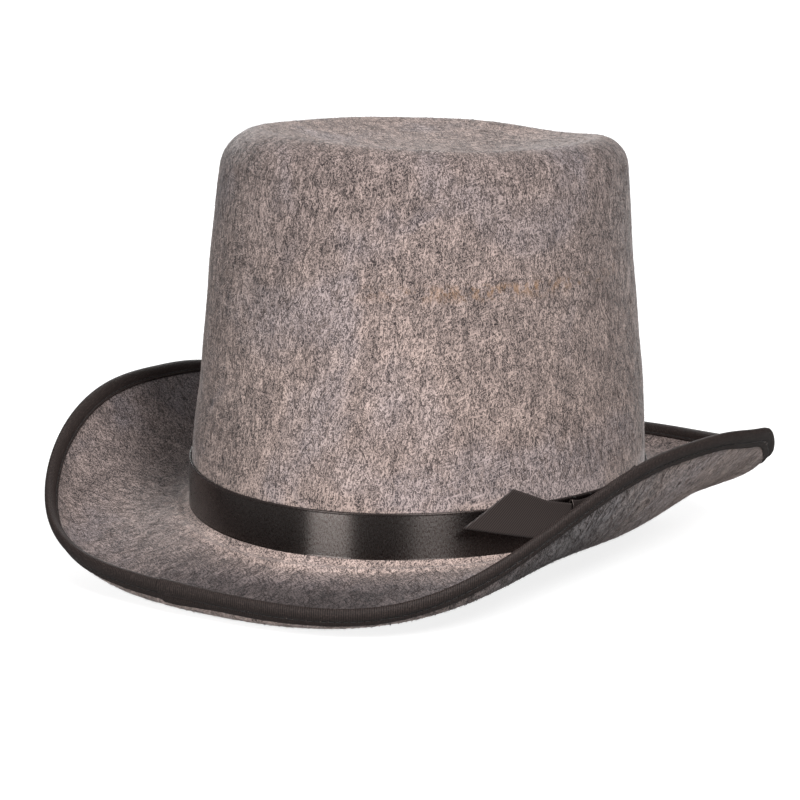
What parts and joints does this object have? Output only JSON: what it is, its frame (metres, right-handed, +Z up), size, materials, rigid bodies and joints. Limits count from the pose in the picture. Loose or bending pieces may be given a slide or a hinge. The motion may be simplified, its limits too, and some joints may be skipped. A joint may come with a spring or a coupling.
{
  "type": "top hat",
  "caption": "Grey felt top hat with flared, dished crown, rolled wire-edged brim bound in black ribbon, and a black satin hat band with a flat side bow.",
  "frame": {"origin": "centre of the head opening, in the plane where crown and brim meet", "axes": "+Z up through the crown, -Y to the wearer's front, +X to the wearer's left, where the bow is"},
  "size_m": [0.2758, 0.3098, 0.1815],
  "materials": {
    "grey_felt": "matte, brushed",
    "spring_wire": "drawn",
    "crimp_steel": "plain",
    "black_grosgrain": "matte, ribbed",
    "black_thread": "matte",
    "black_satin": "satin sheen",
    "black_satin_back": "matte, fine twill",
    "sweatband_ribbon": "matte, ribbed",
    "white_label": "matte, woven"
  },
  "bodies": {
    "root": {"felt_body": "grey_felt", "brim_wire": "spring_wire", "wire_joiner": "crimp_steel", "brim_binding": "black_grosgrain", "binding_stitches": "black_thread", "hat_band": "black_satin", "bow_front_tail": "black_satin_back", "bow_rear_tail": "black_satin_back", "bow_knot": "black_satin", "bow_tack_stitches": "black_thread", "sweatband": "sweatband_ribbon", "sweatband_stitches": "black_thread", "size_tag": "white_label"}
  },
  "joints": []
}
